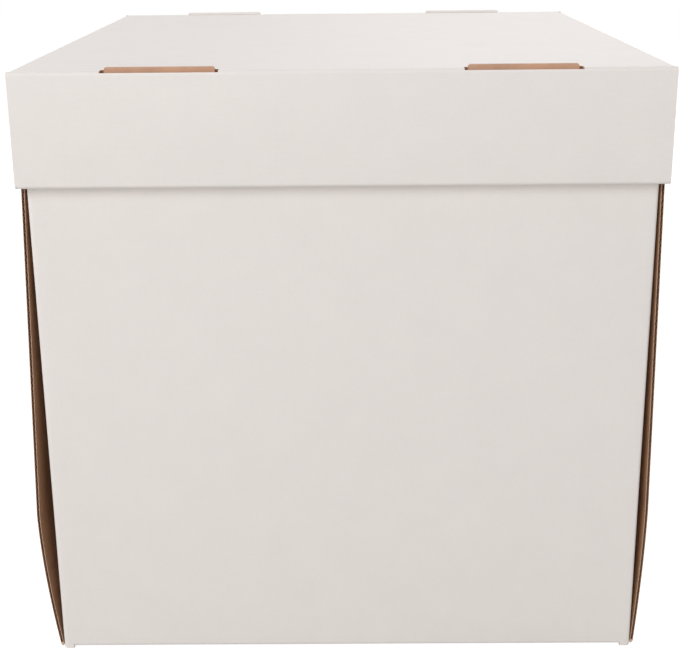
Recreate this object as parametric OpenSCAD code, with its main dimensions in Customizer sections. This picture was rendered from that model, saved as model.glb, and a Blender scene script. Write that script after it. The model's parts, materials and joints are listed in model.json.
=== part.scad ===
// Two-piece tall cake box of thin corrugated board: a folded base and a lift-off tray lid.
// Each piece is one sheet, folded along rounded creases. Millimetres, +Z up.
// The front faces -Y. The origin is on the ground, under the middle of the overall size.

/* [Board] */
// Thickness of the corrugated board
board = 1.6; // [1:0.1:2.4]
// Inside radius of a crease
crease_r = 0.4; // [0.2:0.1:0.8]
// Gap between layers of board that lie against each other
layer_gap = 0.1; // [0.05:0.05:0.3]
// Width of the cut that frees a corner foot or a lock tab from its neighbour
cut_gap = 0.3; // [0.2:0.1:0.6]

/* [Base] */
// Width of the front and back panels, from fold to fold
base_w = 305; // [240:1:420]
// Depth over the front and back panels
base_d = 302; // [240:1:420]
// Height of the walls, from the underside of the bottom to the rim
base_h = 309; // [180:1:420]
// How far the four corner feet reach below the bottom
foot_drop = 1; // [0.6:0.1:3]
// Length of a corner foot along the bottom edge of its panel
foot_len = 5.5; // [4:0.5:20]
// Length of the wings that are folded back inside the side walls
wing_len = 60; // [20:1:110]
// Size of the corner that is cut off the top of each wing
wing_cut = 12; // [4:1:18]
// Gap between a wing and the foot of its side wall
wing_gap = 0.2; // [0.1:0.1:1]
// How far the cut edges of the side walls stand back from the panels' faces
side_setback = 0.8; // [0.2:0.1:2]

/* [Bulge of the side walls] */
// How far the left wall bulges out at its crown
bulge_left = 7; // [1:0.5:20]
// How far the right wall bulges out at its crown
bulge_right = 3.5; // [1:0.5:20]
// Height of the crown above the ground
crown_h = 80; // [40:1:120]
// Power of the curve below the crown: a higher one is rounder at the foot
bulge_power = 1.7; // [1.2:0.1:3]

/* [Lid] */
// Height of the lid, from its lower edge to its top face
lid_h = 56; // [30:1:110]
// How far the lid's side walls are pushed out at their lower edge
lid_flare = 0.9; // [0.2:0.1:3]
// Room above and below a corner flap inside its double wall
flap_room = 1; // [0.6:0.1:3]
// Distance from the end of a double wall to its first slot
slot_inset = 43.5; // [20:0.5:60]
// Distance from the end of a corner flap to the slot beside it
slot_past_flap = 2; // [1:0.5:10]
// Length of a slot along the top fold
slot_len = 55.5; // [20:0.5:58]
// How far the outer wall stops below the top face at a slot
slot_lip = 0.8; // [0.4:0.1:1]
// Gap between each end of a lock tab and the end of its slot
tab_play = 1.8; // [0.5:0.1:5]
// How far a lock tab stands up out of its slot
tab_rise = 1.5; // [0.5:0.1:4]
// Size of the corners that are cut off a lock tab
tab_cut = 0.8; // [0.5:0.1:3]
// Depth of the reliefs cut into the inner wall beside a lock tab
tab_relief = 3; // [1:0.5:8]

/* [Fits] */
// Gap between the lid's side walls and the base's side walls
side_fit = 0.4; // [0.3:0.1:2]
// Gap between the lid's double walls and the base's panels
front_fit = 0.4; // [0.3:0.1:2]

/* [Hidden] */
$fn = 48;
white = "#E6E2DD";

// Outside radius of a crease
fold_r = board + crease_r;
// Cuts and joints run this far past the faces that they open or join
past = 1;

// Outside half width over the side walls, at the foot and at the rim
wall_x = base_w / 2 + wing_gap + board;
rim_z = foot_drop + base_h;
lid_top = rim_z + board;
lid_edge = lid_top - lid_h;
// The side walls still stand out a little at the lid's lower edge, as far as its flare has room
bulge_lid = 0.9 * lid_flare;
// The walls bulge unequally, so the sheets stand off the middle of the overall width
middle_x = (bulge_left - bulge_right) / 2;

// A double wall is outer wall, corner flap and inner wall
double_t = 3 * board + 2 * layer_gap;
lid_w = 2 * (wall_x + side_fit + board);
lid_d = base_d + 2 * (front_fit + double_t);
lid_drop = lid_h - fold_r;
flare_angle = atan(lid_flare / lid_drop);
// Ends of the lid's side walls and outer faces of its corner flaps
flap_y = lid_d / 2 - board - layer_gap;
flap_len = slot_inset - slot_past_flap;
tab_len = slot_len - 2 * tab_play;
// Points on each turned stretch of a side wall's outline
turn_steps = 12;

// How far a side wall stands out at height z, where crown is the most that it does:
// turned below the crown, straight from there to the lid, and back to nothing at the rim
function bulge(z, crown) =
    z <= crown_h
        ? crown * (1 - pow((crown_h - z) / (crown_h - foot_drop - fold_r), bulge_power))
    : z <= lid_edge
        ? crown + (bulge_lid - crown) * (z - crown_h) / (lid_edge - crown_h)
    : bulge_lid * (rim_z - z) / (rim_z - lid_edge);

// Heights at which a side wall's outline has a point
foot_z = foot_drop + fold_r;
wall_levels = concat(
    [for (i = [0 : turn_steps]) foot_z + (crown_h - foot_z) * i / turn_steps],
    [lid_edge, rim_z]
);

// Copies its children to the front and the back
module front_and_back() {
    children();
    mirror([0, 1, 0]) children();
}

// Copies its children to the left and the right
module left_and_right() {
    children();
    mirror([1, 0, 0]) children();
}

// Extrudes an outline drawn in Y and Z along X, evenly about the middle
module along_x(length) {
    rotate([90, 0, 90]) linear_extrude(height = length, center = true) children();
}

// Extrudes an outline drawn in X and Z along Y, evenly about the middle
module along_y(length) {
    rotate([90, 0, 0]) linear_extrude(height = length, center = true) children();
}

// Section of a folded crease: a quarter ring in the first quadrant
module fold_2d() {
    intersection() {
        difference() {
            circle(r = fold_r);
            circle(r = crease_r);
        }
        square(fold_r);
    }
}

// Section of half a sheet with its underside at 0, folded up at a distance of half
module tray_half_2d(half, wall_h) {
    square([half - fold_r, board]);
    translate([half - fold_r, fold_r]) mirror([0, 1]) fold_2d();
    translate([half - board, fold_r]) square([board, wall_h - fold_r]);
}

// Bottom and back panel, creased between the corner feet
module base_panel() {
    translate([0, 0, foot_drop]) along_x(base_w - 2 * foot_len) tray_half_2d(base_d / 2, base_h);
}

// Right end of the back panel, from foot to rim, and the wing folded in from it
module base_corner() {
    linear_extrude(height = rim_z) {
        translate([base_w / 2 - foot_len, base_d / 2 - board]) square([foot_len - fold_r, board]);
        translate([base_w / 2 - fold_r, base_d / 2 - fold_r]) fold_2d();
    }
    translate([base_w / 2, base_d / 2 - fold_r, foot_z]) rotate([90, 0, -90])
        linear_extrude(height = board) wing_2d(wing_len - fold_r, rim_z - foot_z);
}

// Outline of a wing, with its fold at 0 and its top corner cut off
module wing_2d(run, tall) {
    polygon([[0, 0], [run, 0], [run, tall - wing_cut], [run - wing_cut, tall], [0, tall]]);
}

// Section of a side wall in X and Z, from its bottom crease to the rim
module side_wall_2d(crown) {
    translate([wall_x - fold_r, foot_z]) mirror([0, 1]) fold_2d();
    outer = [for (z = wall_levels) [wall_x + bulge(z, crown), z]];
    inner = [for (i = [len(outer) - 1 : -1 : 0]) [outer[i][0] - board, outer[i][1]]];
    polygon(concat(outer, inner));
}

// Right side wall and the strip of the bottom beside it, cut free of the corner feet
module base_side(crown) {
    free_y = base_d / 2 - fold_r - cut_gap;
    strip_x = base_w / 2 - foot_len - past;
    translate([strip_x, -free_y, foot_drop]) cube([wall_x - fold_r - strip_x, 2 * free_y, board]);
    difference() {
        along_y(base_d - 2 * side_setback) side_wall_2d(crown);
        front_and_back() translate([0, free_y, 0]) cube([base_w / 2 + wing_gap, fold_r, foot_z]);
    }
}

// The base: one sheet with a bottom, two panels with wings, and two side walls
module base() {
    color(white) translate([middle_x, 0, 0]) {
        front_and_back() {
            base_panel();
            left_and_right() base_corner();
        }
        base_side(bulge_right);
        mirror([1, 0, 0]) base_side(bulge_left);
    }
}

// Section in Y and Z of half the lid's top and its outer back wall
module lid_outer_2d() {
    translate([0, lid_top]) mirror([0, 1]) tray_half_2d(lid_d / 2, lid_drop);
}

// Section of the crease at the lower edge of the outer back wall
module lid_edge_2d() {
    translate([lid_d / 2 - fold_r, lid_edge + fold_r]) mirror([0, 1]) fold_2d();
}

// Section of the rolled edge and the inner back wall, up to the underside of the top
module lid_roll_2d() {
    inner_y = lid_d / 2 - double_t;
    translate([inner_y + fold_r, lid_edge]) square([double_t - 2 * fold_r, board]);
    translate([inner_y + fold_r, lid_edge + fold_r]) mirror([1, 0]) mirror([0, 1]) fold_2d();
    translate([inner_y, lid_edge + fold_r]) square([board, lid_drop - board - layer_gap]);
}

// Room cleared in the outer outline for the right side wall's top fold
module lid_side_room() {
    translate([lid_w / 2 - fold_r, -flap_y, lid_top - fold_r])
        cube([fold_r + past, 2 * flap_y, fold_r + past]);
}

// Right-hand slot of the back wall, cut through the top panel and the crest of the fold
module lid_slot() {
    start = lid_w / 2 - slot_inset - slot_len;
    translate([start, lid_d / 2 - double_t - cut_gap, lid_top - fold_r])
        cube([slot_len, double_t - board + cut_gap, fold_r + past]);
    translate([start, lid_d / 2 - fold_r, lid_top - slot_lip])
        cube([slot_len, fold_r + past, slot_lip + past]);
}

// Room in the inner back wall for the right-hand lock tab and the reliefs beside it
module lid_relief() {
    translate([
        lid_w / 2 - slot_inset - slot_len, lid_d / 2 - double_t - past,
        lid_top - board - layer_gap - tab_relief
    ])
        cube([slot_len, board + 2 * past, tab_relief + past]);
}

// Lock tab on the inner wall, standing up through the right-hand slot of the back wall
module lid_tab() {
    half = tab_len / 2;
    root_z = lid_top - board - layer_gap - tab_relief - past;
    tall = lid_top + tab_rise - root_z;
    translate([lid_w / 2 - slot_inset - slot_len / 2, lid_d / 2 - double_t + board, root_z])
        rotate([90, 0, 0]) linear_extrude(height = board) polygon([
            [-half, 0], [half, 0], [half, tall - tab_cut],
            [half - tab_cut, tall], [tab_cut - half, tall], [-half, tall - tab_cut]
        ]);
}

// Right side wall with its corner flaps, pushed out about the centre of its top fold
module lid_side() {
    flap_low = board + flap_room - lid_drop;
    flap_high = -crease_r - flap_room;
    translate([lid_w / 2 - fold_r, 0, lid_top - fold_r]) {
        along_y(2 * flap_y) fold_2d();
        rotate([0, -flare_angle, 0]) {
            translate([crease_r, fold_r - flap_y, -lid_drop])
                cube([board, 2 * (flap_y - fold_r), lid_drop]);
            translate([crease_r, -flap_y, flap_high]) cube([board, 2 * flap_y, -flap_high]);
            front_and_back() translate([0, 0, flap_low]) lid_flap(flap_high - flap_low);
        }
    }
}

// Back corner flap of the right side wall, with its fold
module lid_flap(tall) {
    translate([0, flap_y - fold_r, 0]) linear_extrude(height = tall) {
        fold_2d();
        translate([fold_r - flap_len, crease_r]) square([flap_len - fold_r, board]);
    }
}

// The lid: one sheet with a top, two single side walls and two rolled double walls
module lid() {
    roll_w = lid_w - 2 * (board + side_fit);
    color(white) translate([middle_x, 0, 0]) {
        difference() {
            front_and_back() along_x(lid_w) lid_outer_2d();
            left_and_right() lid_side_room();
            front_and_back() left_and_right() lid_slot();
        }
        front_and_back() {
            along_x(lid_w) lid_edge_2d();
            difference() {
                along_x(roll_w) lid_roll_2d();
                left_and_right() lid_relief();
            }
            left_and_right() lid_tab();
        }
        left_and_right() lid_side();
    }
}

base();
lid();
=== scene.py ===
"""A tall two-piece cake box of corrugated board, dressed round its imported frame.

Each piece is one sheet: its outer face is drawn flat, folded along its creases, given the board's
thickness, and its cut edges that cross the flutes are opened to show the wavy paper inside.
Metres, +Z up, the front faces -Y.
"""

import json
import math

import bmesh
import bpy
from mathutils import Matrix, Vector

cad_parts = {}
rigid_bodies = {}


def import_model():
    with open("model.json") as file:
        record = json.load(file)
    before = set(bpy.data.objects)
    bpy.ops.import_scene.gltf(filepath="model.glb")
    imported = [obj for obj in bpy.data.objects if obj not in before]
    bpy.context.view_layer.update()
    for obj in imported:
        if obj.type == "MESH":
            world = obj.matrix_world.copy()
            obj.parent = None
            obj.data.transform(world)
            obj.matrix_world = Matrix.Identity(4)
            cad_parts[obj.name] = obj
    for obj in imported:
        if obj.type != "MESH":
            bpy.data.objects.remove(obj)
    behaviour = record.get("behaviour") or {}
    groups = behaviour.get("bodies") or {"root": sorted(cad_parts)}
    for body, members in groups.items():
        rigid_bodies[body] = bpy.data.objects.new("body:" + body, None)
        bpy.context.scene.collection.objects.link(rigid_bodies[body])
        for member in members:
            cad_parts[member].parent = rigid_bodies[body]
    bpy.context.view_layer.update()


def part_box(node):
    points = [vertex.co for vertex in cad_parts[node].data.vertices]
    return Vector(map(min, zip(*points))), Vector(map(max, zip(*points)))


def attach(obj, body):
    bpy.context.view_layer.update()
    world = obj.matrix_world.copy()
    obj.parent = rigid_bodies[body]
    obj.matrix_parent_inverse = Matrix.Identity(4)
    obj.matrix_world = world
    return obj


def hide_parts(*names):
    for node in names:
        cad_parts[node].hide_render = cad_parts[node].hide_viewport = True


bl_info = {
    "name": "Cake box",
    "version": (1, 0, 0),
    "blender": (4, 5, 0),
    "location": "3D View > Sidebar > Cake box",
    "description": "Builds a corrugated cake box with a lift-off lid on its packed frame",
    "category": "Add Mesh",
}

MM = 0.001
NEAR = 0.02 * MM
FRONT, BACK = -1, 1
LEFT, RIGHT = -1, 1
# Beyond every part of the box, for limits that are open on one side
FAR = 1.0
# Free length at each end of a strip of flutes: along a sheet's edge, and along a rolled wall's end
STRIP_GAP, SHORT_GAP = 0.5 * MM, 0.3 * MM
# How far the lid's lower strips stand inside their opening
STRIP_SINK = 0.02 * MM
# Share of the lid's flare that the base's side walls follow
FOLLOW = 0.9
SMOOTH_ANGLE = 32

# Name, place, aim, size in metres and power in watts
LAMPS = (
    ("key", (-1.1, -1.6, 1.7), (0, 0, 0.2), 1.0, 22),
    ("front", (-0.3, -1.8, 0.7), (0, 0, 0.3), 0.9, 5.8),
    ("left", (-1.6, 0.3, 0.4), (0, 0.1, 0.15), 1.0, 10),
    ("right", (1.6, 0.3, 0.4), (0, 0.1, 0.15), 1.0, 10),
    ("back", (0.5, 1.6, 1.3), (0, 0, 0.15), 1.2, 9.6),
)
SKY_STRENGTH = 0.42
FLOOR_SIZE, FLOOR_GLOW, GLOW_SHARE = 8, 1.76, 0.5
CAMERA_PLACE = (4.6 * MM, -700.6 * MM, 382.0 * MM)
CAMERA_PITCH, CAMERA_YAW, CAMERA_ROLL = 15.646, 0.439, 0.552
SENSOR, LENS, SHIFT_Y = 36, 62.02, -0.131

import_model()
base_low, base_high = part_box("base")
lid_low, lid_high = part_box("lid")


def length(name, description, default):
    """A size in metres that a user may change."""
    return bpy.props.FloatProperty(
        name=name, description=description, default=default, min=0.0, precision=5, unit="LENGTH"
    )


def colour(name, description, code):
    """A colour that a user may change, from its sRGB hex value."""
    return bpy.props.FloatVectorProperty(
        name=name, description=description, default=linear(code), size=3, min=0.0, max=1.0, subtype="COLOR"
    )


def linear(code):
    """An sRGB hex value as a linear colour."""
    channels = (int(code[i : i + 2], 16) / 255 for i in (1, 3, 5))
    return tuple(c / 12.92 if c <= 0.04045 else ((c + 0.055) / 1.055) ** 2.4 for c in channels)


class BoardSizes(bpy.types.PropertyGroup):
    """Sizes of the corrugated board."""

    thickness: length("Thickness", "Thickness of the board", 1.6 * MM)
    crease: length("Crease", "Inside radius of a fold", 0.4 * MM)
    liner: length("Liner", "Thickness of each flat paper face", 0.24 * MM)
    medium: length("Medium", "Thickness of the wavy paper between the faces", 0.2 * MM)
    pitch: length("Pitch", "Distance from one flute to the next", 3.24 * MM)
    depth: length("Depth", "How far in the flutes are modelled from a cut edge", 3 * MM)


class BaseSizes(bpy.types.PropertyGroup):
    """Sizes of the base."""

    panel_w: length("Panel width", "Width of the front and back panels", 305 * MM)
    panel_d: length("Depth", "Depth over the front and back panels", base_high.y - base_low.y)
    rim_z: length("Rim", "Height of the rim above the ground", base_high.z)
    foot_drop: length("Foot drop", "How far the corner feet reach below the bottom", 1 * MM)
    foot_len: length("Foot length", "Length of a corner foot", 5.5 * MM)
    wing_len: length("Wing length", "Length of the wings inside the side walls", 60 * MM)
    wing_cut: length("Wing cut", "Corner cut off the top of each wing", 12 * MM)
    wing_gap: length("Wing gap", "Gap between a wing and the foot of its side wall", 0.2 * MM)
    cut_gap: length("Cut gap", "Width of the cut that frees a corner foot", 0.3 * MM)
    side_setback: length("Setback", "How far the side walls' cut edges stand back", 0.8 * MM)
    bulge_left: length("Left bulge", "How far the left wall bulges at its crown", 7 * MM)
    bulge_right: length("Right bulge", "How far the right wall bulges at its crown", 3.5 * MM)
    crown_h: length("Crown height", "Height of the bulge's crown above the ground", 80 * MM)
    bulge_power: bpy.props.FloatProperty(
        name="Bulge power", description="A higher power is rounder at the foot", default=1.7, min=1.0
    )


class LidSizes(bpy.types.PropertyGroup):
    """Sizes of the lid."""

    width: length("Width", "Width over the side walls at the top fold", 312.6 * MM)
    depth: length("Depth", "Depth over the front and back walls", lid_high.y - lid_low.y)
    top_z: length("Top", "Height of the top face above the ground", base_high.z + 1.6 * MM)
    edge_z: length("Lower edge", "Height of the lower edge above the ground", lid_low.z)
    flare: length("Flare", "How far the side walls are pushed out at their lower edge", 0.9 * MM)
    layer_gap: length("Layer gap", "Gap between layers that lie against each other", 0.1 * MM)
    flap_len: length("Flap length", "Length of the corner flaps", 41.5 * MM)
    flap_room: length("Flap room", "Room above and below a corner flap", 1 * MM)
    slot_inset: length("Slot inset", "Distance from a wall's end to its first slot", 43.5 * MM)
    slot_len: length("Slot length", "Length of a slot along the top fold", 55.5 * MM)
    slot_lip: length("Slot lip", "How far the outer wall stops below the top at a slot", 0.8 * MM)
    tab_play: length("Tab play", "Gap between a tab's end and its slot's end", 1.8 * MM)
    tab_rise: length(
        "Tab rise", "How far a tab stands up out of its slot", lid_high.z - base_high.z - 1.6 * MM
    )
    tab_cut: length("Tab cut", "Corners cut off a tab", 0.8 * MM)
    tab_relief: length("Tab relief", "Depth of the reliefs cut into the inner wall beside a tab", 3 * MM)


class Finishes(bpy.types.PropertyGroup):
    """Colours of the papers."""

    white: colour("White liner", "Bleached outer paper", "#EAE4E0")
    kraft: colour("Kraft liner", "Brown inner paper of the lid", "#CFA68B")
    # Painted shade: a darker copy of the kraft for the base, so that the deep narrow gaps between its wings
    # and side walls come out darker
    painted_shade_kraft: colour("Deep kraft liner", "Brown inner paper of the base, a shade darker", "#AC8363")
    cut: colour("Cut edge", "Bare fibres along the cuts, paler than the brown paper's face", "#CBAE9B")
    fluting: colour("Fluting", "Wavy paper in the cut edges", "#93694A")
    floor: colour("Floor", "Pale floor", "#CFCECC")


# ---- making meshes as by hand

ANY = (-math.inf, math.inf)


def span(limits):
    """A limit on a place, from one value or from two."""
    low, high = limits if isinstance(limits, tuple) else (limits, limits)
    return low - NEAR, high + NEAR


def pick(kind, x=ANY, y=ANY, z=ANY, facing=None):
    """Selects the vertices, edges or faces that lie wholly in a box, and face one way if told to."""
    limits = [span(values) for values in (x, y, z)]
    sheet = bpy.context.edit_object
    bpy.context.tool_settings.mesh_select_mode = (kind == "VERT", kind == "EDGE", kind == "FACE")
    bpy.ops.mesh.select_all(action="DESELECT")
    mesh = bmesh.from_edit_mesh(sheet.data)

    def inside(vert):
        return all(low <= c <= high for c, (low, high) in zip(vert.co, limits))

    items = {"VERT": mesh.verts, "EDGE": mesh.edges, "FACE": mesh.faces}[kind]
    chosen = 0
    for item in items:
        corners = [item] if kind == "VERT" else item.verts
        ok = all(inside(v) for v in corners)
        if ok and facing is not None:
            ok = item.normal.dot(Vector(facing)) > 0.9
        if ok:
            item.select_set(True)
            chosen += 1
    mesh.select_flush_mode()
    bmesh.update_edit_mesh(sheet.data)
    if not chosen:
        raise RuntimeError(f"nothing to pick at x {x}, y {y}, z {z}")
    return chosen


def draw_out(x=0.0, y=0.0, z=0.0):
    """Extrudes what is selected."""
    bpy.ops.mesh.extrude_region_move(TRANSFORM_OT_translate={"value": (x, y, z)})


def turn(centre, axis, degrees, steps=6):
    """Folds what is selected about an axis, right-handed. Blender's spin turns the other way."""
    bpy.ops.mesh.spin(steps=steps, angle=-math.radians(degrees), center=centre, axis=axis)


def shift(x=0.0, y=0.0, z=0.0):
    """Moves what is selected."""
    bpy.ops.transform.translate(value=(x, y, z))


def score(x=None, y=None):
    """Divides the whole sheet along a line."""
    bpy.ops.mesh.select_all(action="SELECT")
    place, facing = ((x, 0, 0), (1, 0, 0)) if x is not None else ((0, y, 0), (0, 1, 0))
    bpy.ops.mesh.bisect(plane_co=place, plane_no=facing)


def start_sheet(name, half_w, half_d, z):
    """Adds a flat rectangle about the origin at height z, and leaves it in edit mode."""
    bpy.ops.object.select_all(action="DESELECT")
    bpy.ops.mesh.primitive_plane_add(size=1, location=(0, 0, z))
    sheet = bpy.context.object
    sheet.name = sheet.data.name = name
    sheet.scale = (2 * half_w, 2 * half_d, 1)
    bpy.ops.object.transform_apply(location=True, rotation=True, scale=True)
    bpy.ops.object.mode_set(mode="EDIT")
    return sheet


def apply_modifier(piece, kind, **settings):
    """Adds a modifier with its settings and applies it."""
    modifier = piece.modifiers.new(kind.title(), kind)
    for key, value in settings.items():
        setattr(modifier, key, value)
    bpy.context.view_layer.objects.active = piece
    bpy.ops.object.modifier_apply(modifier=modifier.name)


def give_thickness(sheet, board):
    """Turns a sheet's outer face into board: slot 0 outside, slot 1 inside, slot 2 on the cut edges."""
    bpy.ops.mesh.select_all(action="SELECT")
    bpy.ops.mesh.remove_doubles(threshold=NEAR)
    bpy.ops.object.mode_set(mode="OBJECT")
    apply_modifier(
        sheet,
        "SOLIDIFY",
        thickness=board.thickness,
        offset=-1,
        use_even_offset=True,
        material_offset=1,
        material_offset_rim=2,
    )


def open_edge(board, inward, **place):
    """Opens the cut edge in the box given, between its two paper faces, as deep as the flutes go."""
    pick("FACE", facing=[-c for c in inward], **place)
    bpy.ops.mesh.inset(thickness=board.liner, depth=0, use_boundary=True, use_even_offset=True)
    draw_out(*[c * board.depth for c in inward])
    bpy.ops.mesh.select_more()
    pocket = bmesh.from_edit_mesh(bpy.context.edit_object.data)
    for face in pocket.faces:
        if face.select and abs(face.normal.dot(Vector(inward))) < 0.9:
            face.material_index = 3
    bmesh.update_edit_mesh(bpy.context.edit_object.data)


def add_fluting(name, board, run, origin, along, across, into):
    """The wavy paper of a cut edge: one flute of two arcs, repeated along the edge and put in place."""
    rise = (board.thickness - 2 * board.liner - board.medium) / 2
    quarter = board.pitch / 4
    slope = 2 * math.atan(rise / quarter)
    radius = quarter / math.sin(slope)
    bpy.ops.object.select_all(action="DESELECT")
    bpy.ops.mesh.primitive_plane_add(size=board.depth, location=(-board.depth / 2, board.depth / 2, 0))
    flute = bpy.context.object
    flute.name = flute.data.name = name
    flute.data.materials.append(fluting_paper())
    bpy.ops.object.transform_apply(location=True, rotation=True, scale=True)
    bpy.ops.object.mode_set(mode="EDIT")
    pick("VERT", x=-board.depth)
    bpy.ops.mesh.delete(type="VERT")
    pick("EDGE", x=0)
    for crest, way in ((-1, 1), (1, -1)):
        centre_x = radius * math.sin(slope) + (0 if way > 0 else 2 * quarter)
        turn((centre_x, 0, crest * radius * math.cos(slope)), (0, 1, 0), way * math.degrees(2 * slope), 4)
    bpy.ops.object.mode_set(mode="OBJECT")
    count = int(run / board.pitch)
    apply_modifier(
        flute,
        "ARRAY",
        count=count,
        use_relative_offset=False,
        use_constant_offset=True,
        constant_offset_displace=(board.pitch, 0, 0),
        use_merge_vertices=True,
        merge_threshold=NEAR,
    )
    apply_modifier(flute, "SOLIDIFY", thickness=board.medium, offset=0, use_even_offset=True)
    rest = (run - count * board.pitch) / 2
    along, across, into = Vector(along), Vector(across), Vector(into)
    turned = Matrix((along, into, across)).transposed().to_4x4()
    flute.matrix_world = Matrix.Translation(Vector(origin) + along * rest) @ turned
    bpy.ops.object.transform_apply(location=True, rotation=True, scale=True)
    if turned.determinant() < 0:
        bpy.ops.object.mode_set(mode="EDIT")
        bpy.ops.mesh.select_all(action="SELECT")
        bpy.ops.mesh.normals_make_consistent(inside=False)
        bpy.ops.object.mode_set(mode="OBJECT")
    return flute


def join(piece, parts):
    """Joins parts into a piece."""
    bpy.ops.object.select_all(action="DESELECT")
    for part in parts:
        part.select_set(True)
    piece.select_set(True)
    bpy.context.view_layer.objects.active = piece
    bpy.ops.object.join()


def finish_piece(piece, body):
    """Softens the shading over the folds, and lets the piece ride in place of its CAD node."""
    bpy.ops.object.select_all(action="DESELECT")
    piece.select_set(True)
    bpy.context.view_layer.objects.active = piece
    bpy.ops.object.shade_smooth_by_angle(angle=math.radians(SMOOTH_ANGLE))
    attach(piece, body)
    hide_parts(body)


# ---- the base


def bulge(base, fold_r, lid_edge, rest, z, crown):
    """How far a side wall stands out at height z, where crown is the most that it does."""
    foot_z = base.foot_drop + fold_r
    if z <= base.crown_h:
        return crown * (1 - ((base.crown_h - z) / (base.crown_h - foot_z)) ** base.bulge_power)
    if z <= lid_edge:
        return crown + (rest - crown) * (z - base.crown_h) / (lid_edge - base.crown_h)
    return rest * (base.rim_z - z) / (base.rim_z - lid_edge)


class CAKEBOX_OT_base_sheet(bpy.types.Operator):
    """Fold the base from its sheet: bottom, front and back panels with wings, and side walls"""

    bl_idname = "cakebox.base_sheet"
    bl_label = "Base"

    def execute(self, context):
        board, base, lid = context.scene.cakebox_board, context.scene.cakebox_base, context.scene.cakebox_lid
        fold_r = board.thickness + board.crease
        half_w, half_d = base.panel_w / 2, base.panel_d / 2
        foot_x, foot_z = half_w - base.foot_len, base.foot_drop + fold_r
        wall_x = half_w + base.wing_gap + board.thickness
        free_y = half_d - fold_r - base.cut_gap
        side_y = half_d - base.side_setback
        rest = FOLLOW * lid.flare
        steps = 16
        levels = [foot_z + (base.crown_h - foot_z) * i / steps for i in range(1, steps + 1)]
        levels += [base.crown_h + (lid.edge_z - base.crown_h) * i / 4 for i in (1, 2, 3, 4)] + [base.rim_z]

        def stand_out(z, crown):
            return bulge(base, fold_r, lid.edge_z, rest, z, crown)

        sheet = start_sheet("base_sheet", foot_x, half_d - fold_r, base.foot_drop)
        bpy.ops.mesh.flip_normals()
        for y in (-free_y, free_y):
            score(y=y)
        for side, crown in ((LEFT, base.bulge_left), (RIGHT, base.bulge_right)):
            pick("EDGE", x=side * foot_x, y=(-free_y, free_y))
            draw_out(x=side * (wall_x - fold_r - foot_x))
            turn((side * (wall_x - fold_r), 0, foot_z), (0, 1, 0), -90 * side)
            z, out = foot_z, 0.0
            for level in levels:
                further = stand_out(level, crown)
                draw_out(x=side * (further - out), z=level - z)
                z, out = level, further
            for end in (FRONT, BACK):
                reach = (half_w + base.wing_gap, FAR)
                pick("EDGE", x=reach if side > 0 else (-reach[1], -reach[0]), y=end * free_y)
                draw_out(y=end * (side_y - free_y))
        for end in (FRONT, BACK):
            pick("EDGE", x=(-foot_x, foot_x), y=end * (half_d - fold_r), z=base.foot_drop)
            turn((0, end * (half_d - fold_r), foot_z), (1, 0, 0), 90 * end)
            draw_out(z=base.rim_z - foot_z)
            for side in (LEFT, RIGHT):
                face_y, corner_x = end * half_d, side * (half_w - fold_r)
                pick("EDGE", x=side * foot_x, y=face_y, z=(foot_z, base.rim_z))
                draw_out(x=corner_x - side * foot_x)
                pick("EDGE", x=tuple(sorted((side * foot_x, corner_x))), y=face_y, z=foot_z)
                draw_out(z=-foot_z)
                pick("EDGE", x=corner_x, y=face_y, z=(0, base.rim_z))
                turn((corner_x, end * (half_d - fold_r), 0), (0, 0, 1), -90 * side * end)
                wing_x, wing_y = side * half_w, end * (half_d - fold_r)
                pick("EDGE", x=wing_x, y=wing_y, z=(foot_z, base.rim_z))
                run = base.wing_len - fold_r
                draw_out(y=-end * (run - base.wing_cut))
                draw_out(y=-end * base.wing_cut)
                pick("VERT", x=wing_x, y=wing_y - end * run, z=base.rim_z)
                shift(z=-base.wing_cut)
        # The base's inside takes the darker kraft, which is painted shade for its deep gaps
        lay_papers(sheet, "Z", "painted_shade_kraft")
        give_thickness(sheet, board)

        bpy.ops.object.mode_set(mode="EDIT")
        for end in (FRONT, BACK):
            open_edge(board, (0, -end, 0), y=end * side_y, z=(foot_z, FAR))
        for end in (FRONT, BACK):
            inner = sorted((end * half_d, end * (half_d - board.thickness)))
            open_edge(board, (0, 0, -1), x=(-half_w + fold_r, half_w - fold_r), y=tuple(inner), z=base.rim_z)
        bpy.ops.object.mode_set(mode="OBJECT")

        parts = []
        mid = board.thickness / 2
        for side, crown in ((LEFT, base.bulge_left), (RIGHT, base.bulge_right)):
            strips = [
                add_fluting(
                    "base_fluting",
                    board,
                    base.rim_z - foot_z - 2 * STRIP_GAP,
                    (side * (wall_x - mid), end * side_y, foot_z + STRIP_GAP),
                    (0, 0, 1),
                    (1, 0, 0),
                    (0, -end, 0),
                )
                for end in (FRONT, BACK)
            ]
            for strip in strips:
                self.bulge_strip(strip, [foot_z] + levels, lambda z, c=crown: stand_out(z, c), side)
            parts += strips
        for end in (FRONT, BACK):
            parts.append(
                add_fluting(
                    "base_fluting",
                    board,
                    base.panel_w - 2 * fold_r - 2 * STRIP_GAP,
                    (-half_w + fold_r + STRIP_GAP, end * (half_d - mid), base.rim_z),
                    (1, 0, 0),
                    (0, 1, 0),
                    (0, 0, -1),
                )
            )
        join(sheet, parts)
        bpy.ops.object.mode_set(mode="EDIT")
        bpy.ops.mesh.select_all(action="SELECT")
        shift(x=(base.bulge_left - base.bulge_right) / 2)
        bpy.ops.object.mode_set(mode="OBJECT")
        finish_piece(sheet, "base")
        return {"FINISHED"}

    def bulge_strip(self, strip, levels, stand_out, side):
        """Bends a straight strip of flutes out with its wall, by a lattice with a row at each level."""
        low, high = levels[0], levels[-1]
        rows, girth = 48, 20 * MM
        cage = bpy.data.lattices.new("bulge")
        cage.points_u, cage.points_v, cage.points_w = 2, 2, rows
        cage.interpolation_type_u = cage.interpolation_type_v = cage.interpolation_type_w = "KEY_LINEAR"
        holder = bpy.data.objects.new("bulge", cage)
        bpy.context.collection.objects.link(holder)
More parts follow.
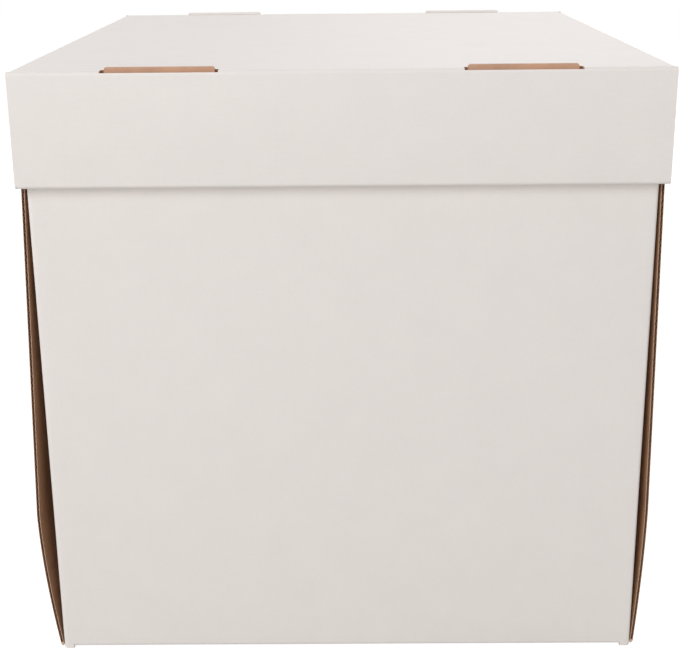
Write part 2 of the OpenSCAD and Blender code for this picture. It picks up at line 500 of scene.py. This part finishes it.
        # The rows of a new lattice are one unit apart
        holder.location = (*strip.data.vertices[0].co.xy, (low + high) / 2)
        holder.scale = (girth, girth, (high - low) / (rows - 1))
        for point in cage.points:
            z = holder.location.z + point.co.z * holder.scale.z
            point.co_deform.x += side * stand_out(z) / holder.scale.x
        cage.update_tag()
        bpy.context.view_layer.update()
        apply_modifier(strip, "LATTICE", object=holder)
        bpy.data.objects.remove(holder)


# ---- the lid


class CAKEBOX_OT_lid_sheet(bpy.types.Operator):
    """Fold the lid from its sheet: top, side walls with corner flaps, and rolled walls with lock tabs"""

    bl_idname = "cakebox.lid_sheet"
    bl_label = "Lid"

    def execute(self, context):
        board, base, lid = context.scene.cakebox_board, context.scene.cakebox_base, context.scene.cakebox_lid
        fold_r = board.thickness + board.crease
        half_w, half_d = lid.width / 2, lid.depth / 2
        fold_x, fold_y, fold_z = half_w - fold_r, half_d - fold_r, lid.top_z - fold_r
        flap_y = half_d - board.thickness - lid.layer_gap
        double_t = 3 * board.thickness + 2 * lid.layer_gap
        roll_y, low_z = half_d - double_t, lid.edge_z + fold_r
        slot = (half_w - lid.slot_inset - lid.slot_len, half_w - lid.slot_inset)
        tab = (slot[0] + lid.tab_play, slot[1] - lid.tab_play)
        slot_y = roll_y - base.cut_gap
        flap_high = fold_z - board.crease - lid.flap_room
        flap_low = lid.edge_z + board.thickness + lid.flap_room

        sheet = start_sheet("lid_sheet", fold_x, fold_y, lid.top_z)
        for x in (*slot, *tab):
            score(x=x)
            score(x=-x)
        for y in (slot_y, flap_y - fold_r):
            score(y=y)
            score(y=-y)
        for side in (LEFT, RIGHT):
            pick("EDGE", x=side * fold_x, z=lid.top_z)
            turn((side * fold_x, 0, fold_z), (0, 1, 0), 90 * side)
            draw_out(z=flap_high - fold_z)
            wall_y = flap_y - fold_r
            pick("EDGE", x=side * half_w, y=(-wall_y, wall_y), z=flap_high)
            draw_out(z=flap_low - flap_high)
            draw_out(z=lid.edge_z - flap_low)
            for end in (FRONT, BACK):
                pick("EDGE", x=side * half_w, y=end * wall_y, z=(flap_low, flap_high))
                turn((side * fold_x, end * wall_y, 0), (0, 0, 1), 90 * side * end)
                draw_out(x=-side * (lid.flap_len - fold_r))
            reach = (half_w - lid.flap_len, FAR)
            pick("VERT", x=reach if side > 0 else (-reach[1], -reach[0]), z=(0, fold_z))
            angle = math.atan(lid.flare / (fold_z - lid.edge_z))
            bpy.ops.transform.rotate(
                value=side * angle, orient_axis="Y", center_override=(side * fold_x, 0, fold_z)
            )
        lip = math.acos((lid.top_z - lid.slot_lip - fold_z) / fold_r)
        for end in (FRONT, BACK):
            pick("EDGE", x=(-fold_x, fold_x), y=end * fold_y, z=lid.top_z)
            centre = (0, end * fold_y, fold_z)
            turn(centre, (1, 0, 0), -end * math.degrees(lip), 4)
            turn(centre, (1, 0, 0), -end * (90 - math.degrees(lip)), 3)
            draw_out(z=low_z - fold_z)
            for side in (LEFT, RIGHT):
                beyond = (flap_y, FAR) if end > 0 else (-FAR, -flap_y)
                pick("EDGE", x=side * fold_x, y=beyond)
                draw_out(x=side * fold_r)
                cut_x = tuple(sorted((side * slot[0], side * slot[1])))
                cut_y = (slot_y, FAR) if end > 0 else (-FAR, -slot_y)
                pick("FACE", x=cut_x, y=cut_y, z=(lid.top_z - lid.slot_lip, lid.top_z))
                bpy.ops.mesh.delete(type="FACE")
            pick("EDGE", y=end * half_d, z=low_z)
            turn((0, end * fold_y, low_z), (1, 0, 0), -90 * end)
            pick("EDGE", x=(-fold_x, fold_x), y=end * fold_y, z=lid.edge_z)
            draw_out(y=-end * (double_t - 2 * fold_r))
            turn((0, end * (roll_y + fold_r), low_z), (1, 0, 0), -90 * end)
            wall_top = lid.top_z - board.thickness - lid.layer_gap
            relief_z = wall_top - lid.tab_relief
            draw_out(z=relief_z - low_z)
            for stretch in ((-FAR, -slot[1]), (-slot[0], slot[0]), (slot[1], FAR)):
                pick("EDGE", x=stretch, y=end * roll_y, z=relief_z)
                draw_out(z=lid.tab_relief)
            for side in (LEFT, RIGHT):
                tab_x = tuple(sorted((side * tab[0], side * tab[1])))
                pick("EDGE", x=tab_x, y=end * roll_y, z=relief_z)
                tab_top = lid.top_z + lid.tab_rise
                draw_out(z=tab_top - lid.tab_cut - relief_z)
                draw_out(z=lid.tab_cut)
                for x, inward in zip(tab_x, (1, -1)):
                    pick("VERT", x=x, y=end * roll_y, z=tab_top)
                    shift(x=inward * lid.tab_cut)
        lay_papers(sheet, "Y", "kraft")
        give_thickness(sheet, board)

        bpy.ops.object.mode_set(mode="EDIT")
        # The cut face behind each slot takes the darker fluting paper: partly the medium that shows along a
        # cut parallel to the flutes, partly painted shade for the narrow slot
        for end in (FRONT, BACK):
            pick("FACE", y=end * slot_y, z=(lid.top_z - board.thickness, lid.top_z))
            sheet.active_material_index = 3
            bpy.ops.object.material_slot_assign()
        for side in (LEFT, RIGHT):
            outer = half_w + lid.flare + 1 * MM
            reach = tuple(sorted((side * (half_w - board.thickness), side * outer)))
            open_edge(board, (0, 0, 1), x=reach, z=(lid.edge_z - 0.3 * MM, lid.edge_z + 0.3 * MM))
            for end in (FRONT, BACK):
                wall = tuple(sorted((end * half_d, end * (half_d - board.thickness))))
                open_edge(board, (-side, 0, 0), x=side * half_w, y=wall, z=(low_z, fold_z))
        bpy.ops.object.mode_set(mode="OBJECT")

        parts = []
        mid = board.thickness / 2
        for side in (LEFT, RIGHT):
            parts.append(
                add_fluting(
                    "lid_fluting",
                    board,
                    2 * (flap_y - fold_r) - 2 * STRIP_GAP,
                    (side * (half_w + lid.flare - mid), STRIP_GAP - flap_y + fold_r, lid.edge_z + STRIP_SINK),
                    (0, 1, 0),
                    (1, 0, 0),
                    (0, 0, 1),
                )
            )
            for end in (FRONT, BACK):
                parts.append(
                    add_fluting(
                        "lid_fluting",
                        board,
                        fold_z - low_z - 2 * SHORT_GAP,
                        (side * half_w, end * (half_d - mid), low_z + SHORT_GAP),
                        (0, 0, 1),
                        (0, 1, 0),
                        (-side, 0, 0),
                    )
                )
        join(sheet, parts)
        bpy.ops.object.mode_set(mode="EDIT")
        bpy.ops.mesh.select_all(action="SELECT")
        shift(x=(base.bulge_left - base.bulge_right) / 2)
        bpy.ops.object.mode_set(mode="OBJECT")
        finish_piece(sheet, "lid")
        return {"FINISHED"}


# ---- materials


def add(tree, kind, settings=None, **sockets):
    """Adds a node with its settings. A socket gets a value, or a link from another node's socket."""
    node = tree.nodes.new("ShaderNode" + kind)
    for key, value in (settings or {}).items():
        setattr(node, key, value)
    for key, value in sockets.items():
        socket = node.inputs[int(key[1:])] if key[0] == "_" else node.inputs[key.replace("_", " ")]
        if isinstance(value, bpy.types.NodeSocket):
            tree.links.new(value, socket)
        elif value is not None:
            socket.default_value = (*value, 1) if socket.type == "RGBA" and len(value) == 3 else value
    return node


def new_material(name):
    """An empty node material and its tree."""
    material = bpy.data.materials.new(name)
    material.use_nodes = True
    material.node_tree.nodes.clear()
    return material, material.node_tree


def noise(tree, place, size, **settings):
    """Noise whose features are of a real size in metres."""
    return add(tree, "TexNoise", Vector=place, Scale=1 / size, **settings).outputs["Fac"]


def shade(tree, tone, tint, contrast):
    """The paper's colour, a little darker to a little lighter with a noise tone."""
    ramp = add(tree, "ValToRGB", Fac=tone)
    low, high = ramp.color_ramp.elements
    low.position, high.position = 0.35, 0.65
    low.color = (*(Vector(tint) * (1 - contrast)), 1)
    high.color = (*(Vector(tint) * (1 + contrast)), 1)
    return ramp.outputs["Color"]


def matt_paper(tree, tint, roughness, specular, bump):
    """A matt paper surface with its relief."""
    shader = add(tree, "BsdfPrincipled", Base_Color=tint, Roughness=roughness, Normal=bump.outputs[0])
    shader.inputs["Specular IOR Level"].default_value = specular
    add(tree, "OutputMaterial", Surface=shader.outputs[0])


def seen_directly(tree):
    """1 for the camera's rays and for mirrored ones, else 0."""
    path = add(tree, "LightPath").outputs
    both = add(tree, "Math", {"operation": "MAXIMUM"}, _0=path["Is Camera Ray"], _1=path["Is Glossy Ray"])
    return both.outputs[0]


def across_flutes(tree, place, top_axis):
    """Distance across the flutes, in metres. On the panels that fold up beside them the axis changes."""
    axes = add(tree, "SeparateXYZ", Vector=place)
    facing = add(tree, "SeparateXYZ", Vector=add(tree, "NewGeometry").outputs["True Normal"])
    if top_axis == "Z":
        # On the base the flutes run from front to back, and up the front and back panels
        turned, flat, lifted = "X", "X", "Z"
    else:
        # On the lid they run from side to side, and up the side walls
        turned, flat, lifted = "Y", "Y", "Z"
    amount = add(tree, "Math", {"operation": "ABSOLUTE"}, _0=facing.outputs[turned])
    upright = add(tree, "Math", {"operation": "GREATER_THAN"}, _0=amount.outputs[0], _1=0.7)
    return add(
        tree,
        "Mix",
        {"data_type": "FLOAT"},
        Factor=upright.outputs[0],
        _2=axes.outputs[flat],
        _3=axes.outputs[lifted],
    ).outputs[0]


def white_liner(board, finishes, top_axis):
    """Bleached, uncoated paper on the outside: matt, warm white, with a faint washboard over the flutes."""
    material, tree = new_material("bleached_liner_" + top_axis.lower())
    place = add(tree, "TexCoord").outputs["Object"]
    turns = 2 * math.pi / board.pitch
    distance = across_flutes(tree, place, top_axis)
    phase = add(tree, "Math", {"operation": "MULTIPLY"}, _0=distance, _1=turns)
    washboard = add(tree, "Math", {"operation": "SINE"}, _0=phase.outputs[0])
    cloud = noise(tree, place, 22 * MM, Detail=4.0, Roughness=0.6)
    grain = noise(tree, place, 0.9 * MM, Detail=4.0, Roughness=0.7)
    tone = add(tree, "Mix", {"data_type": "FLOAT"}, Factor=0.6, _2=cloud, _3=grain)
    rough = add(tree, "Math", {"operation": "MULTIPLY_ADD"}, _0=washboard.outputs[0], _1=0.35, _2=grain)
    bump = add(tree, "Bump", Strength=0.35, Distance=0.05 * MM, Height=rough.outputs[0])
    matt_paper(tree, shade(tree, tone.outputs[0], finishes.white, 0.02), 0.62, 0.35, bump)
    return material


def brown_paper(name, tint, contrast):
    """Unbleached paper, on the inside and in the cut edges: matt brown with fibres and specks."""
    material, tree = new_material(name)
    place = add(tree, "TexCoord").outputs["Object"]
    fibre = noise(tree, place, 0.8 * MM, Detail=6.0, Roughness=0.75)
    cloud = noise(tree, place, 14 * MM, Detail=3.0)
    tone = add(tree, "Mix", {"data_type": "FLOAT"}, Factor=0.5, _2=fibre, _3=cloud)
    bump = add(tree, "Bump", Strength=0.4, Distance=0.05 * MM, Height=fibre)
    matt_paper(tree, shade(tree, tone.outputs[0], tint, contrast), 0.85, 0.25, bump)
    return material


def fluting_paper():
    """The paper of the flutes, made once."""
    tint = bpy.context.scene.cakebox_finishes.fluting
    return bpy.data.materials.get("fluting_medium") or brown_paper("fluting_medium", tint, 0.15)


def lay_papers(sheet, top_axis, brown):
    """Gives a sheet its papers: outside, inside, cut edges and flute openings."""
    scene = bpy.context.scene
    finishes = scene.cakebox_finishes
    outside = white_liner(scene.cakebox_board, finishes, top_axis)
    inside = brown_paper(brown + "_liner", getattr(finishes, brown), 0.12)
    cut = bpy.data.materials.get("cut_fibres") or brown_paper("cut_fibres", finishes.cut, 0.12)
    for material in (outside, inside, cut, fluting_paper()):
        sheet.data.materials.append(material)


# ---- the stage


class CAKEBOX_OT_stage(bpy.types.Operator):
    """Set up the pale floor, the soft light and the camera"""

    bl_idname = "cakebox.stage"
    bl_label = "Stage"

    def execute(self, context):
        scene = context.scene
        finishes = scene.cakebox_finishes
        bpy.ops.object.select_all(action="DESELECT")
        bpy.ops.mesh.primitive_plane_add(size=FLOOR_SIZE, location=(0, 0, 0))
        floor = context.object
        floor.name = floor.data.name = "floor"
        floor.data.materials.append(self.floor_paint(finishes))
        self.sky(scene)
        for lamp in LAMPS:
            self.lamp(*lamp)
        self.camera(scene)
        scene.view_settings.view_transform = "Standard"
        return {"FINISHED"}

    def floor_paint(self, finishes):
        """Pale matt floor that keeps the box's shadow and is white to the camera."""
        material, tree = new_material("pale_floor")
        share = add(tree, "Math", {"operation": "MULTIPLY"}, _0=seen_directly(tree), _1=GLOW_SHARE)
        matt = add(tree, "BsdfDiffuse", Color=tuple(finishes.floor))
        glow = add(tree, "Emission", Color=(1, 1, 1), Strength=FLOOR_GLOW)
        both = add(tree, "MixShader", Fac=share.outputs[0], _1=matt.outputs[0], _2=glow.outputs[0])
        add(tree, "OutputMaterial", Surface=both.outputs[0])
        return material

    def sky(self, scene):
        """White to the camera, a soft grey light to everything else."""
        world = bpy.data.worlds.new("soft_studio")
        world.use_nodes = True
        tree = world.node_tree
        tree.nodes.clear()
        seen = seen_directly(tree)
        strength = add(tree, "Mix", {"data_type": "FLOAT"}, Factor=seen, _2=SKY_STRENGTH, _3=1.0)
        light = add(tree, "Background", Color=(1, 1, 1), Strength=strength.outputs[0])
        add(tree, "OutputWorld", Surface=light.outputs[0])
        scene.world = world

    def lamp(self, name, place, aim, size, power):
        """A square soft lamp that points at a place."""
        data = bpy.data.lights.new(name, "AREA")
        data.size, data.energy = size, power
        lamp = bpy.data.objects.new(name, data)
        bpy.context.collection.objects.link(lamp)
        lamp.location = place
        lamp.rotation_euler = (Vector(aim) - Vector(place)).to_track_quat("-Z", "Y").to_euler()

    def camera(self, scene):
        """Camera at the height of the lid, a little above it, looking down at the front."""
        data = bpy.data.cameras.new("camera")
        data.sensor_width, data.lens, data.shift_y = SENSOR, LENS, SHIFT_Y
        camera = bpy.data.objects.new("camera", data)
        bpy.context.collection.objects.link(camera)
        camera.location = CAMERA_PLACE
        pitch, yaw, roll = (math.radians(a) for a in (CAMERA_PITCH, CAMERA_YAW, CAMERA_ROLL))
        aim = Matrix.Rotation(yaw, 3, "Z") @ Matrix.Rotation(math.pi / 2 - pitch, 3, "X")
        camera.rotation_euler = (aim @ Matrix.Rotation(-roll, 3, "Z")).to_euler()
        scene.camera = camera


class CAKEBOX_PT_panel(bpy.types.Panel):
    """Lists the pieces of the cake box"""

    bl_idname = "CAKEBOX_PT_panel"
    bl_label = "Cake box"
    bl_space_type = "VIEW_3D"
    bl_region_type = "UI"
    bl_category = "Cake box"

    def draw(self, context):
        for operator in OPERATORS:
            self.layout.operator(operator.bl_idname)


GROUPS = {
    "cakebox_board": BoardSizes,
    "cakebox_base": BaseSizes,
    "cakebox_lid": LidSizes,
    "cakebox_finishes": Finishes,
}
OPERATORS = (CAKEBOX_OT_base_sheet, CAKEBOX_OT_lid_sheet, CAKEBOX_OT_stage)


def register():
    for group in GROUPS.values():
        bpy.utils.register_class(group)
    for operator in OPERATORS:
        bpy.utils.register_class(operator)
    bpy.utils.register_class(CAKEBOX_PT_panel)
    for name, group in GROUPS.items():
        setattr(bpy.types.Scene, name, bpy.props.PointerProperty(type=group))


def unregister():
    for name in GROUPS:
        delattr(bpy.types.Scene, name)
    bpy.utils.unregister_class(CAKEBOX_PT_panel)
    for operator in reversed(OPERATORS):
        bpy.utils.unregister_class(operator)
    for group in reversed(GROUPS.values()):
        bpy.utils.unregister_class(group)


def main():
    register()
    bpy.ops.cakebox.base_sheet()
    bpy.ops.cakebox.lid_sheet()
    bpy.ops.cakebox.stage()


if __name__ == "__main__":
    main()
